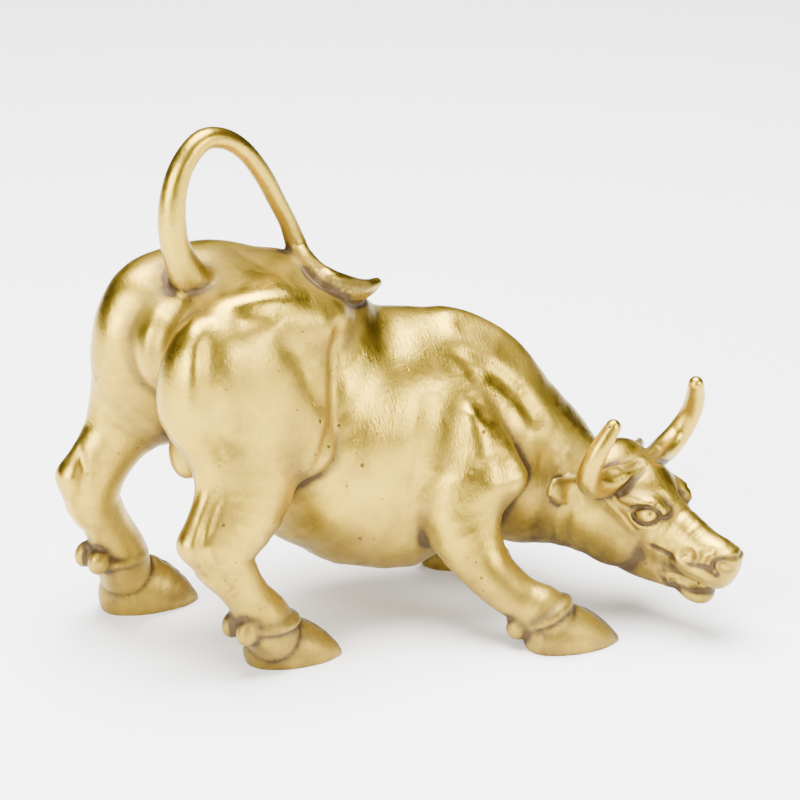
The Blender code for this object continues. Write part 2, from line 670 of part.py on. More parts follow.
def relax(mesh, points, rounds):
    """Evens out the spacing of the points: each moves towards the mean of its neighbours."""
    ends = np.empty(len(mesh.edges) * 2, np.int32)
    mesh.edges.foreach_get("vertices", ends)
    a, b = ends.reshape(-1, 2).T
    count = np.bincount(ends, minlength=len(points))[:, None]
    for _ in range(rounds):
        total = np.zeros_like(points)
        for axis in range(3):
            total[:, axis] += np.bincount(a, points[b, axis], len(points))
            total[:, axis] += np.bincount(b, points[a, axis], len(points))
        points = 0.5 * points + 0.5 * total / count
    return points


def fitted_skin(figure, step):
    mesh = applied_mesh(skin_object(figure, step))
    shape = bmesh.new()
    shape.from_mesh(mesh)
    keep_outer_shell(shape)
    shape.to_mesh(mesh)
    shape.free()
    points = figure.settle(mesh_points(mesh), 3)
    points = figure.settle(relax(mesh, points, 3), 3)
    mesh.vertices.foreach_set("co", points.astype(np.float32).ravel())
    return mesh


def brass():
    material = bpy.data.materials.new("brass")
    material.use_nodes = True
    shader = material.node_tree.nodes["Principled BSDF"]
    shader.inputs["Base Color"].default_value = (0.74, 0.56, 0.25, 1)
    shader.inputs["Metallic"].default_value = 1.0
    shader.inputs["Roughness"].default_value = 0.32
    return material


def thinned(mesh, faces):
    obj = bpy.data.objects.new("thin", mesh)
    bpy.context.scene.collection.objects.link(obj)
    decimate = obj.modifiers.new("Decimate", "DECIMATE")
    decimate.ratio = min(1.0, faces / (2 * len(mesh.polygons)))
    return applied_mesh(obj)


def cut_soles(mesh):
    """Cuts the hooves off flat, sets the figure down on the cut and centres its outline on the origin."""
    shape = bmesh.new()
    shape.from_mesh(mesh)
    bmesh.ops.transform(shape, matrix=Matrix.Scale(UNIT, 4), verts=shape.verts)
    everything = shape.verts[:] + shape.edges[:] + shape.faces[:]
    cut = bmesh.ops.bisect_plane(
        shape, geom=everything, plane_co=(0, 0, SOLE_CUT), plane_no=(0, 0, 1), clear_inner=True
    )
    rim = [e for e in cut["geom_cut"] if isinstance(e, bmesh.types.BMEdge)]
    bmesh.ops.holes_fill(shape, edges=rim)
    bmesh.ops.triangulate(shape, faces=shape.faces[:])
    keep_outer_shell(shape)
    xs, ys = [v.co.x for v in shape.verts], [v.co.y for v in shape.verts]
    middle = Vector(((min(xs) + max(xs)) / 2, (min(ys) + max(ys)) / 2, SOLE_CUT))
    bmesh.ops.translate(shape, vec=-middle, verts=shape.verts)
    shape.to_mesh(mesh)
    shape.free()
    return mesh


def main():
    for obj in list(bpy.data.objects):
        bpy.data.objects.remove(obj)
    skin = fitted_skin(model_bull(), units(SKIN_STEP))
    mesh = cut_soles(thinned(skin, SOLID_FACES))
    bull = bpy.data.objects.new("bull", mesh)
    bpy.context.scene.collection.objects.link(bull)
    mesh.materials.append(brass())
    mesh.shade_smooth()


if __name__ == "__main__":
    main()
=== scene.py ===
# Looks of the small cast-brass bull. It is modelled in the same clay as the solid, skinned more finely,
# and gets the fine carving that the solid leaves out: eyelids, nostrils, lips, poll and the tail's brush.

import json
import math

import bmesh
import bpy
import numpy as np
from mathutils import Euler, Matrix, Vector

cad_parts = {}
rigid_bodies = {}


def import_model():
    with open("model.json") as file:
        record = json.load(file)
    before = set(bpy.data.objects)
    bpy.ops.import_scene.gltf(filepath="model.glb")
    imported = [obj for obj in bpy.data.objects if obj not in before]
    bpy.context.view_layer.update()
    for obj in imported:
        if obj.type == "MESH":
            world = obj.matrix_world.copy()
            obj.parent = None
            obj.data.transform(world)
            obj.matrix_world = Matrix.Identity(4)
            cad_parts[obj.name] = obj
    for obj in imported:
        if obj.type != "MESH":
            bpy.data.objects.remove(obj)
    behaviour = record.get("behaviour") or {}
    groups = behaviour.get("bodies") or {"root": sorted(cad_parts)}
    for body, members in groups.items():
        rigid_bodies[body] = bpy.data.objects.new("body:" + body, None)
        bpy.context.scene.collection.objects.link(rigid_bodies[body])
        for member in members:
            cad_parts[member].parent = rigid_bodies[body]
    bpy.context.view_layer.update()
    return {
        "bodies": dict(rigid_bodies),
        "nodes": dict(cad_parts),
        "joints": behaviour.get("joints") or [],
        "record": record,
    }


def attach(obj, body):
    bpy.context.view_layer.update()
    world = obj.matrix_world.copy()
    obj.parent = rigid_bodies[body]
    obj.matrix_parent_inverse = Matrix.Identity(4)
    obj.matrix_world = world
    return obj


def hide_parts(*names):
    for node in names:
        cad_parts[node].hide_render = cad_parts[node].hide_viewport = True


# Driving sizes, in metres
FIGURE_LENGTH = 0.100  # from the hind quarters to the muzzle, along the bend of the spine
SOLE_CUT = 0.0004  # taken off the rounded hooves, so that each stands on a flat sole
SKIN_STEP = 0.0006  # spacing of the skin

UNIT = FIGURE_LENGTH / 100

# Sizes that can be set by themselves, in metres
TAIL_RADIUS = 0.0022
HORN_RADIUS = 0.0022
EAR_LENGTH = 0.007
HOOF_LENGTH = 0.0135
HOOF_WIDTH = 0.0096
CUFF_LENGTH = 0.011
CUFF_WIDTH = 0.0092
CUFF_HEIGHT = 0.0036
EYE_RADIUS = 0.0016

# The camera, as the photograph was taken
CAMERA_AZIMUTH = -30.0
CAMERA_ELEVATION = 22.0
CAMERA_DISTANCE = 0.6
CAMERA_LENS = 167.4
CAMERA_AIM = (0.0, 0.0, 0.032)

# Buffed cast brass. Its patterns are given by their real widths
MM = 0.001
BRIGHT_BRASS = "#CCAE3C"
WORN_BRASS = "#A08026"
# Dark brown of the patina and grime, also used as painted shade in the sheltered parts and on the feet
SHADE_AND_GRIME = "#42300F"
PIT_FLOOR = "#463414"
CLOUD_WIDTH = 11.1 * MM  # clouds of more and of less buffing
PATCH_WIDTH = 2.63 * MM  # patches of grime
GRAIN_WIDTH = 1.11 * MM  # grain of the cast skin, coarser than the real one so that it shows
BRUSH_LENGTH = 3.03 * MM  # brush marks, which the stretch makes nine times as long as wide
BRUSH_STRETCH = (9.0, 1.0, 3.0)
BRUSH_TURN = (0.4, 0.6, 0.9)
PIT_SPACING = 2.083 * MM
RELIEF_HEIGHT = 0.1 * MM  # of the grain, the brush marks and the pits
# Below FEET_HEIGHT the legs get painted shade with grime, darker towards the ground
FEET_HEIGHT = 22 * MM  # below this the legs get browner towards the ground

FAR = 1e3

# A crease is read at this many steps, and its depth fades out towards both ends
CREASE_STEPS = 30
FADE = np.minimum(1, 1.6 * np.sin(np.linspace(0.06, np.pi - 0.06, CREASE_STEPS)))

# Section of the body: where it stands in plan, and its turn to the left of the X axis in degrees
SECTIONS = {
    "pelvis": ((-33.0, -2.3), 8.0),
    "loin": ((-22.5, -1.6), -2.0),
    "ribs": ((-12.0, -3.0), -12.0),
    "withers": ((-1.5, -6.2), -22.0),
    "chest": ((7.9, -11.0), -32.0),
    "neck": ((18.0, -20.0), -48.0),
    "poll": ((26.4, -28.9), -68.0),
}
HORN_LINE_HEIGHT = 0.025
HEAD_PITCH = 34.0


def units(metres):
    return metres / UNIT


def section_frame(name):
    if name == "head":
        level = section_frame("poll") @ Matrix.Translation((0, 0, units(HORN_LINE_HEIGHT)))
        return level @ Matrix.Rotation(math.radians(HEAD_PITCH), 4, "Y")
    (x, y), turn = SECTIONS[name]
    return Matrix.Translation((x, y, 0)) @ Matrix.Rotation(math.radians(turn), 4, "Z")


def place(section, point):
    return np.array(section_frame(section) @ Vector(point))


def smooth_min(a, b, blend):
    overlap = np.maximum(blend - np.abs(a - b), 0.0) / blend
    return np.minimum(a, b) - overlap**3 * blend / 6


def spline(points, count):
    """Catmull-Rom curve through rows of numbers, read at count even steps."""
    rows = np.asarray(points, float)
    padded = np.vstack([2 * rows[0] - rows[1], rows, 2 * rows[-1] - rows[-2]])
    where = np.linspace(0, len(rows) - 1, count)
    first = np.minimum(where.astype(int), len(rows) - 2)
    t = (where - first)[:, None]
    p0, p1, p2, p3 = (padded[first + k] for k in range(4))
    return 0.5 * (
        2 * p1 + (p2 - p0) * t + (2 * p0 - 5 * p1 + 4 * p2 - p3) * t**2 + (3 * p1 - p0 - 3 * p2 + p3) * t**3
    )


def even_rows(rows):
    """Reads a limb's rows closely enough for its beads to overlap."""
    rows = np.asarray(rows, float)
    length = np.linalg.norm(np.diff(rows[:, :3], axis=0), axis=1).sum()
    return spline(rows, int(np.clip(2.2 * length / rows[:, 3:5].min(), 8, 90)))


class Lump:
    """Clay forms that melt together by their own blends, then join the rest of the figure by one blend."""

    def __init__(self, blend):
        self.blend = blend
        self.forms = []

    def reach(self, blend):
        """How far from its own skin a form can still shape the figure."""
        return 1.8 * max(blend, self.blend)

    def ball(self, section, centre, radii, turn=(0, 0, 0), blend=4.0, cut=False):
        """An egg. turn is roll, pitch and yaw in degrees, in the section's frame."""
        frame = section_frame(section) @ Matrix.Translation(centre)
        frame = frame @ Euler([math.radians(a) for a in turn], "XYZ").to_matrix().to_4x4()
        self.forms.append(Ball(frame, np.array(radii, float), blend, cut, self.reach(blend)))

    def pair(self, section, centre, radii, turn=(0, 0, 0), blend=4.0, cut=False):
        """The same egg on the left and on the right of the section."""
        for side in (1, -1):
            roll, pitch, yaw = turn
            mirrored = (centre[0], side * centre[1], centre[2])
            self.ball(section, mirrored, radii, (side * roll, pitch, side * yaw), blend, cut)

    def limb(self, stations, blend=4.0, cut=False, side=None):
        """A tapered limb. A station is section, point, half its width and half its depth."""
        rows = []
        for section, point, half_width, half_depth in stations:
            left = np.array(section_frame(section).to_3x3() @ Vector(side or (0, 1, 0)))
            rows.append([*place(section, point), half_width, half_depth, *left])
        self.forms.append(Limb(even_rows(rows), blend, cut, self.reach(blend)))

    def distance(self, points):
        value = np.full(len(points), FAR)
        for form in self.forms:
            near = form.near(points)
            if not len(near):
                continue
            found = form.distance(points[near])
            if form.cut:
                value[near] = -smooth_min(-value[near], found, form.blend)
            else:
                value[near] = smooth_min(value[near], found, form.blend)
        return value


class Ball:
    def __init__(self, frame, radii, blend, cut, reach):
        self.frame, self.radii, self.blend, self.cut = frame, radii, blend, cut
        self.turn = np.array(frame.to_3x3())
        self.centre = np.array(frame.translation)
        reach += radii.max()
        self.low, self.high = self.centre - reach, self.centre + reach

    def near(self, points):
        return np.flatnonzero(((points > self.low) & (points < self.high)).all(axis=1))

    def distance(self, points):
        local = (points - self.centre) @ self.turn
        k0 = np.linalg.norm(local / self.radii, axis=1)
        k1 = np.linalg.norm(local / self.radii**2, axis=1)
        return k0 * (k0 - 1) / np.maximum(k1, 1e-9)

    def beads(self):
        yield self.frame @ Matrix.Diagonal((*self.radii, 1))


class Limb:
    def __init__(self, rows, blend, cut, reach):
        self.centre, self.half = rows[:, :3], np.maximum(rows[:, 3:5], 0.2)
        self.blend, self.cut = blend, cut
        reach += self.half.max()
        self.low, self.high = self.centre.min(0) - reach, self.centre.max(0) + reach
        run = np.diff(self.centre, axis=0)
        self.length = np.linalg.norm(run, axis=1)
        self.along = run / self.length[:, None]
        left = rows[:-1, 5:8] - (rows[:-1, 5:8] * self.along).sum(axis=1)[:, None] * self.along
        self.left = left / np.linalg.norm(left, axis=1)[:, None]
        self.depth = np.cross(self.along, self.left)

    near = Ball.near

    def distance(self, points):
        value = np.zeros((len(points), len(self.along)))
        ends = self.half[:-1].min(axis=1)
        sizes = (ends, self.half[:-1, 0], self.half[:-1, 1])
        for axis, size in zip((self.along, self.left, self.depth), sizes):
            value += ((points @ axis.T - (self.centre[:-1] * axis).sum(axis=1)) / size) ** 2
        nearest = value.argmin(axis=1)
        return np.minimum(self.span(points, nearest - 1), self.span(points, nearest))

    def span(self, points, first):
        """Distance from the span between two stations, the one that starts at each point's first."""
        i = np.clip(first, 0, len(self.length) - 1)
        offset = points - self.centre[i]
        run = (offset * self.along[i]).sum(axis=1)
        t = np.clip(run / self.length[i], 0, 1)
        width, thick = (self.half[i] + t[:, None] * (self.half[i + 1] - self.half[i])).T
        past = run - t * self.length[i]
        end = np.minimum(width, thick)
        u = (offset * self.left[i]).sum(axis=1)
        v = (offset * self.depth[i]).sum(axis=1)
        k0 = np.sqrt((u / width) ** 2 + (v / thick) ** 2 + (past / end) ** 2)
        k1 = np.sqrt((u / width**2) ** 2 + (v / thick**2) ** 2 + (past / end**2) ** 2)
        return k0 * (k0 - 1) / np.maximum(k1, 1e-9)

    def beads(self):
        for i in range(len(self.centre)):
            k = min(i, len(self.along) - 1)
            width, thick = self.half[i]
            turn = Matrix((self.along[k], self.left[k], self.depth[k])).transposed().to_4x4()
            size = Matrix.Diagonal((min(width, thick), width, thick, 1))
            yield Matrix.Translation(self.centre[i]) @ turn @ size


class Figure:
    def __init__(self):
        self.lumps = []
        self.lines = []

    def lump(self, blend):
        self.lumps.append(Lump(blend))
        return self.lumps[-1]

    def crease(self, points, width, depth, sides=(1, -1)):
        """Presses a crease along the points, or raises a ridge where depth is below nothing. It fades out
        at both ends. A point is section, forward, out to the side and up."""
        for side in sides:
            self.press([place(section, (x, side * y, z)) for section, x, y, z in points], width, depth)

    def press(self, points, width, depth):
        path = self.settle(spline(points, CREASE_STEPS), 6, bare=True)
        self.lines.append((path, width, depth))

    def distance(self, points, bare=False):
        value = np.full(len(points), FAR)
        for lump in self.lumps:
            value = smooth_min(value, lump.distance(points), lump.blend)
        for path, width, depth in [] if bare else self.lines:
            reach = 3 * width
            near = ((points > path.min(0) - reach) & (points < path.max(0) + reach)).all(axis=1)
            near = np.flatnonzero(near)
            if len(near):
                square = (points[near] ** 2).sum(axis=1)[:, None] + (path**2).sum(axis=1)
                gap = np.maximum(square - 2 * points[near] @ path.T, 0)
                fade = FADE[gap.argmin(axis=1)]
                value[near] += depth * fade * np.exp(-gap.min(axis=1) / width**2)
        return value

    def settle(self, points, rounds, bare=False):
        """Moves points along the clay's slope until they lie on its surface."""
        step = 0.06
        corners = np.array([(1, -1, -1), (-1, -1, 1), (-1, 1, -1), (1, 1, 1)], float)
        points = np.array(points, float)
        for _ in range(rounds):
            found = [self.distance(points + step * c, bare) for c in corners]
            slope = sum(c * f[:, None] for c, f in zip(corners, found)) / (4 * step)
            steep = np.maximum((slope**2).sum(axis=1), 0.05)
            move = np.clip(sum(found) / 4 / steep, -1.5, 1.5)
            points -= move[:, None] * slope
        return points


def model_torso(figure):
    body = figure.lump(4.0)
    body.limb(
        [
            ("pelvis", (-7, 0, 50.5), 9, 8.5),
            ("pelvis", (0, 0, 49.7), 13, 11.8),
            ("pelvis", (8, 0, 47), 14, 15.3),
            ("loin", (1, 0, 42), 14, 17.2),
            ("loin", (6.5, 0, 36.7), 16, 16),
            ("ribs", (-1.5, 0, 31.4), 17, 18),
            ("ribs", (1.5, 0, 29.5), 17.5, 20.9),
            ("withers", (-2, 0, 28.1), 16.5, 21.5),
            ("withers", (5, 0, 29.1), 14, 18.1),
            ("chest", (1, 0, 26), 12, 15),
            ("chest", (7, 0, 23.5), 10, 12),
        ]
    )
    for side in (1, -1):
        body.ball("pelvis", (1.2 - 0.5 * side, side * 7.5, 55 + 1.1 * side), (11, 7.4, 7), blend=5)
        body.ball("pelvis", (9.6, side * 10.2, 54.2 + 0.4 * side), (5.6, 4.6, 4), blend=6)
    body.ball("pelvis", (-7, 8.2, 55.9), (8, 6.2, 6.4), blend=5)
    body.ball("withers", (5.2, 0, 41.3), (10, 6, 8.2), blend=6)
    body.ball("chest", (2.5, 0, 37.5), (6.5, 4, 8), blend=5)
    body.ball("chest", (7, 0, 20.6), (8, 8.5, 9.6), blend=5)


def model_shoulders(figure):
    for side in (1, -1):
        blade = figure.lump(2.0)
        blade.limb(
            [
                ("withers", (3, side * 6, 43), 3, 3),
                ("withers", (6, side * 11, 35), 4, 5.5),
                ("chest", (1, side * 13, 25), 4.5, 7.5),
            ],
            blend=4,
        )


def model_neck(figure):
    neck = figure.lump(5.0)
    neck.limb(
        [
            ("withers", (4, 0, 36.4), 8, 11.0),
            ("chest", (3, 0, 28.7), 9, 11.0),
            ("chest", (9, 0, 23.0), 8.5, 10.6),
            ("neck", (1, 0, 20.3), 7.5, 9.4),
            ("neck", (7, 0, 18.0), 6.8, 8.3),
            ("poll", (-2, 0, 17.5), 6.2, 7.8),
        ]
    )


def model_hind_leg(figure, side, ham, heel, stifle, bones, dewclaw):
    """ham, heel and stifle are forward and up; bones run from the hip to the coronet, with half their width
    and half their depth."""
    thigh = figure.lump(1.6)
    hip = bones[0]
    thigh.ball("pelvis", (hip[0], side * 9, 44.8), (11, 7.8, 14), blend=4)
    thigh.ball("pelvis", (ham[0], side * 8.5, ham[1]), (8.8, 6.7, 11.5), blend=5)
    tendon = [
        (ham[0] - 3.5, 9, ham[1] - 3, 4.5, 5),
        (0.45 * ham[0] + 0.55 * heel[0] + 2.0, 11.5, 0.5 * (ham[1] + heel[1]) + 1.5, 3.8, 3.9),
        (0.2 * ham[0] + 0.8 * heel[0] + 3.1, 12.6, 0.3 * ham[1] + 0.7 * heel[1], 2.8, 3.1),
        (heel[0], 13.6, heel[1], 2.5, 2.6),
    ]
    thigh.limb([("pelvis", (x, side * y, z), w, d) for x, y, z, w, d in tendon], blend=3)
    front = [(9, 10.5, 54, 3, 3), (stifle[0] + 0.5, 12.5, 43, 4.5, 5), (stifle[0], 13, stifle[1], 5, 5.2)]
    thigh.limb([("pelvis", (x, side * y, z), w, d) for x, y, z, w, d in front], blend=4)
    thigh.limb([("pelvis", (x, side * y, z), w, d) for x, y, z, w, d in bones], blend=4)
    hock = bones[2]
    heel_bone = [(heel[0], 13.6, heel[1], 2.5, 2.6), (hock[0] + 1, 13.8, hock[2] - 3.5, 3, 3.4)]
    thigh.limb([("pelvis", (x, side * y, z), w, d) for x, y, z, w, d in heel_bone], blend=2)
    for out in (-1.9, 1.9):
        x, z = dewclaw
        thigh.ball("pelvis", (x + 0.3, side * (15.2 + out), z - 0.2), (1.9, 1.6, 2.2), (0, 24, 0), blend=1.4)


def model_fore_leg(figure, bones, dewclaw):
    leg = figure.lump(3.0)
    leg.limb([("chest", (x, y, z), w, d) for x, y, z, w, d in bones])
    x, y, z = dewclaw
    for out in (-1.9, 1.9):
        leg.ball("chest", (x + 0.3, y + out, z), (1.9, 1.6, 2.0), (0, 30, 0), blend=1.4)


def model_cuff(figure, section, centre, pitch, share=1.0):
    """The pastern's swollen lower edge, which overhangs the hoof. share is of the full cuff's length."""
    cuff = figure.lump(0.5)
    size = (share * units(CUFF_LENGTH), units(CUFF_WIDTH), units(CUFF_HEIGHT))
    cuff.ball(section, centre, [side / 2 for side in size], (0, pitch, 0))


def model_hoof(figure, heel, turn, height):
    """A hoof that tapers to the toe. heel is the middle of the heel on the ground, height is its instep's."""
    frame = Matrix.Translation((heel[0], heel[1], 0)) @ Matrix.Rotation(math.radians(turn), 4, "Z")
    left = np.array(frame.to_3x3() @ Vector((0, 1, 0)))
    rows = []
    for ahead, up, half_width, half_depth in (
        (0.19, 0.30, 0.92, 0.58),
        (0.40, 0.28, 1.0, 0.72),
        (0.68, 0.17, 0.86, 0.51),
        (0.92, 0.07, 0.48, 0.25),
    ):
        point = frame @ Vector((ahead * units(HOOF_LENGTH), 0, up * height))
        rows.append([*point, half_width * units(HOOF_WIDTH) / 2, half_depth * height, *left])
    hoof = figure.lump(0.5)
    hoof.forms.append(Limb(even_rows(rows), 1.0, False, hoof.reach(1.0)))
    cleft = [(1.02, 0.0), (0.94, 0.32), (0.8, 0.6), (0.62, 0.9)]
    cleft = [frame @ Vector((ahead * units(HOOF_LENGTH), 0, up * height)) for ahead, up in cleft]
    figure.press(cleft, 0.6, 0.7)


def model_head(figure):
    head = figure.lump(1.8)
    head.ball("head", (3.4, 0, -2.6), (7.0, 5.9, 5.7))
    head.limb(
        [
            ("head", (2, 0, -5), 5.9, 7),
            ("head", (8, 0, -5.0), 5.0, 6.6),
            ("head", (13, 0, -3.2), 4.1, 5.4),
            ("head", (17, 0, -2.1), 3.8, 4.6),
            ("head", (20.0, 0, -0.9), 3.7, 4.4),
        ],
        blend=3,
    )
    head.ball("head", (21.2, 0, 0.9), (1.8, 3.5, 2.6), blend=1.2)
    head.ball("head", (19.1, 0, -7.0), (3.9, 3.1, 2.6), blend=1.2)
    for side in (1, -1):
        head.ball("head", (3.8, side * 4.6, -8.6), (6.2, 2.5, 6.0), (side * 6, 0, side * -4), blend=1.6)
        head.limb(
            [
                ("head", (3, side * 2.5, -10.5), 3.0, 4.4),
                ("head", (9, side * 2.2, -10.2), 2.6, 3.5),
                ("head", (15.5, side * 1.6, -7.9), 2.2, 2.3),
            ],
            blend=2,
        )
        head.limb(
            [
                ("head", (1.4, side * 5.2, -2.2), 1.0, 0.9),
                ("head", (4.2, side * 4.8, -0.2), 1.2, 1.0),
                ("head", (6.6, side * 3.9, 1.0), 1.3, 1.0),
                ("head", (8.9, side * 3.0, 1.2), 1.0, 0.8),
            ],
            blend=1.2,
        )
        head.limb(
            [
                ("head", (15.6, side * 3.3, -3.2), 1.2, 1.3),
                ("head", (18.8, side * 3.3, -1.7), 1.2, 1.3),
                ("head", (21.2, side * 2.6, -0.9), 1.1, 1.2),
            ],
            blend=1.2,
        )
        head.ball("head", (7.2, side * 6.5, -1.2), (3.4, 1.5, 1.9), (0, -43, side * -12), blend=0.8, cut=True)
        head.ball("head", (16.6, side * 4.6, -0.6), (1.3, 1.3, 1.0), blend=0.8, cut=True)
        head.ball("head", (18.7, side * 4.2, 1.0), (0.7, 1.0, 1.4), blend=0.8, cut=True)
    eyes = figure.lump(0.3)
    radius = units(EYE_RADIUS)
    eyes.pair("head", (7.2, 4.3, -0.9), (1.25 * radius, radius, radius), (0, -43, 0), blend=0.3)
    cap = figure.lump(1.0)
    cap.ball("head", (-2.4, 0, -1.1), (4.2, 5.4, 3.3))


def model_horns(figure):
    for side in (1, -1):
        horn = figure.lump(1.0)
        rows = []
        for ahead, out, up, radius in (
            (1.0, 0.5, 0.5, 0.75),
            (0.5, 4.5, 0.3, 0.9),
            (-0.5, 8.5, 0.1, 1.0),
            (-0.2, 12.2, 1.8, 0.92),
            (1.2, 13.7, 5.3, 0.8),
            (2.5, 13.1, 8.7, 0.72),
            (3.6, 11.5, 11.8, 0.58),
        ):
            up += units(HORN_LINE_HEIGHT)
            radius *= units(HORN_RADIUS)
            rows.append(("poll", (ahead, side * out, up), radius, radius))
        horn.limb(rows, side=(1, 0, 0))
        ear = figure.lump(0.6)
        droop = 0.6 * side
        root = (-2.4, side * 6.2, -5.4)
        middle = (-3.8, side * (6.2 + 0.5 * units(EAR_LENGTH)), -5.6 - droop)
        tip = (-5.2, side * (6.2 + units(EAR_LENGTH)), -5.4 - 2 * droop)
        ear.limb(
            [("head", root, 1.6, 1.2), ("head", middle, 2.8, 1.3), ("head", tip, 1.7, 0.7)],
            side=(-0.5, 0, 0.85),
        )
        hollow = (middle[0] + 1.5, middle[1] + 0.6 * side, middle[2] + 0.9)
        ear.ball("head", hollow, (1.1, 2.2, 1.7), (0, -30, side * 20), blend=0.5, cut=True)


def model_tail(figure):
    tail = figure.lump(1.2)
    rows = []
    for ahead, out, up, radius in (
        (-3.0, 0, 57.5, 1.7),
        (-5.6, 0, 60.5, 1.4),
        (-8.2, 0, 65.8, 1.06),
        (-9.0, 0, 70.3, 1.0),
        (-8.6, 0, 75.0, 0.93),
        (-6.8, 0, 79.4, 0.85),
        (-3.2, 0, 82.5, 0.8),
        (0.9, 0, 82.0, 0.74),
        (4.7, 0, 79.3, 0.68),
        (8.0, 0, 74.9, 0.67),
        (10.4, 0, 70.5, 0.65),
        (12.7, 0, 66.1, 0.64),
        (13.9, -0.3, 62.6, 0.76),
        (13.9, -1.5, 61.2, 0.74),
        (13.5, -4.0, 60.1, 0.82),
        (12.8, -7.0, 59.5, 0.93),
        (12.9, -9.5, 58.9, 1.02),
        (15.7, -10.0, 57.5, 0.98),
        (19.5, -9.0, 56.0, 0.82),
        (22.2, -8.0, 55.5, 0.6),
        (24.4, -7.4, 55.6, 0.38),
    ):
        radius *= units(TAIL_RADIUS)
        rows.append(("pelvis", (ahead, out, up), radius, radius))
    tail.limb(rows)


def model_scrotum(figure):
    scrotum = figure.lump(1.0)
    scrotum.limb([("pelvis", (-3.5, 0, 40), 2.4, 2.4), ("pelvis", (-6.5, 0, 35), 2.2, 2.2)])
    scrotum.ball("pelvis", (-7.3, 0, 32), (2.6, 3.1, 3.8))


def carve(figure, section, points, width, depth, sides=(1, -1)):
    figure.crease([(section, *point) for point in points], width, depth, sides)


def carve_rump(figure):
    cleft = [(-7.6, -1.2, 59.8), (-10.8, -2, 56.4), (-13, -2.6, 52), (-13.4, -2.8, 47), (-12, -2.4, 42)]
    carve(figure, "pelvis", cleft, 1.5, 1.5, sides=(1,))
    edge = [(-8.2, 7.1, 58.5), (-5.5, 8.6, 59.4), (-2.4, 10.7, 59.8), (2.4, 11.9, 59.6), (7.4, 12.3, 58.9)]
    carve(figure, "pelvis", edge, 1.9, -0.5, sides=(-1,))
    under_edge = [(-6.3, 11, 57.3), (-2.8, 12.4, 57.4), (1.7, 13.4, 57)]
    carve(figure, "pelvis", under_edge, 1.8, 0.4)
    valley = [(0.4, 14.8, 56.5), (2.7, 15.4, 51.6), (4.6, 16.3, 47.1), (6.3, 17.1, 43.4), (7.8, 17.1, 40.3)]
    carve(figure, "pelvis", valley, 2.1, 0.7)
    flank = [(10.3, 14.8, 57.5), (11.1, 13.9, 51.1), (9.7, 15.4, 45.3)]
    flank += [(8.6, 16.8, 39.4), (6.4, 17.9, 35.3), (4, 17, 31)]
    carve(figure, "pelvis", flank, 1.3, 1.0)
    rear_band = [(-8.8, 6.7, 58.2), (-12.7, 11.1, 55.9), (-14.4, 12.5, 51.9)]
    rear_band += [(-15.1, 13.1, 46.6), (-14.6, 13.6, 41)]
    carve(figure, "pelvis", rear_band, 1.8, -0.5, sides=(-1,))
    rear_groove = [(-9.6, 9.6, 57.6), (-11.7, 12.9, 54), (-12.2, 14.5, 48.8)]
    rear_groove += [(-11.3, 15, 42.2), (-10, 15.5, 37)]
    carve(figure, "pelvis", rear_groove, 2.0, 0.7)


def carve_hocks(figure):
    outer = [(-11.2, 15.4, 33.5), (-13.4, 15.4, 29.4), (-14.8, 15.8, 26.9), (-16, 16.5, 23.6)]
    outer += [(-14.2, 16.4, 19.8), (-10.6, 16.9, 15.2)]
    carve(figure, "pelvis", outer, 0.85, 1.1, sides=(-1,))
    carve(figure, "pelvis", [(x - 4.5, y, z + 3) for x, y, z in outer], 0.85, 1.1, sides=(1,))
    left_inner = [(-19.2, 12.6, 33), (-19.7, 10.6, 29.2), (-19.9, 10.4, 25.9)]
    left_inner += [(-19.9, 11.2, 22.8), (-17.6, 12.1, 17.5)]
    carve(figure, "pelvis", left_inner, 0.85, 0.8, sides=(1,))


def carve_shoulders(figure):
    blade_top = [("withers", 5.6, 4.6, 48.4), ("withers", 9.3, 3.2, 48)]
    blade_top += [("chest", 2.7, 2.6, 46), ("chest", 7.5, 2.6, 40.6)]
    figure.crease(blade_top, 2.2, 0.45)
    blade_low = [("withers", 3.3, 6.1, 47.5), ("withers", 5, 7.6, 45.7), ("withers", 9, 7.9, 43.2)]
    blade_low += [("chest", 4.9, 6.5, 40), ("chest", 8.9, 7.4, 35.3), ("chest", 10.2, 8.2, 32.3)]
    figure.crease(blade_low, 1.5, 0.9)
    arm_top = [("withers", 3.1, 11.1, 42.8), ("withers", 5.7, 11.7, 41.2), ("chest", -1, 11.9, 39.6)]
    arm_top += [("chest", 0.6, 12.4, 37.9), ("chest", 1.9, 13.4, 35.6)]
    figure.crease(arm_top, 1.4, 0.7)
    arm_bulge = [(-1.6, 12.9, 38.8), (0.3, 14.2, 35.8), (1, 15.4, 32.7), (0.4, 16.8, 29.3)]
    carve(figure, "chest", arm_bulge, 2.0, -0.6)
    behind_arm = [(1.8, 12.1, 41.7), (2.5, 13.9, 38.2), (1.7, 15.4, 33.8)]
    behind_arm += [(-0.1, 16.6, 29.3), (-1.8, 16.7, 24.4)]
    carve(figure, "withers", behind_arm, 2.6, 0.9)
    carve(figure, "chest", [(4.8, 13.4, 31), (5.1, 15.2, 26), (4.6, 14, 17)], 2.0, 0.6)


def carve_neck(figure):
    rear_fold = [(-1.2, 7, 31.1), (-0.3, 7.7, 26.4), (-1.1, 8.7, 21.5), (-2.7, 7.6, 15.6)]
    carve(figure, "neck", rear_fold, 1.6, 0.5)
    carve(figure, "neck", [(2.9, 5.5, 30.2), (3.8, 7.6, 25.2), (3.5, 7.4, 19.8)], 1.6, 0.5)
    jaw_rear = [(-2.6, 9.5, -4.5), (-2.3, 9.5, -7), (-1.2, 8.5, -11), (0.6, 7, -14.4)]
    carve(figure, "head", jaw_rear, 0.9, 1.0)
    mouth = [(14.6, 4.2, -7.6), (18.2, 3.6, -6.1), (21.6, 2, -4.4), (22.9, 0, -3.9)]
    carve(figure, "head", mouth, 0.55, 0.8)


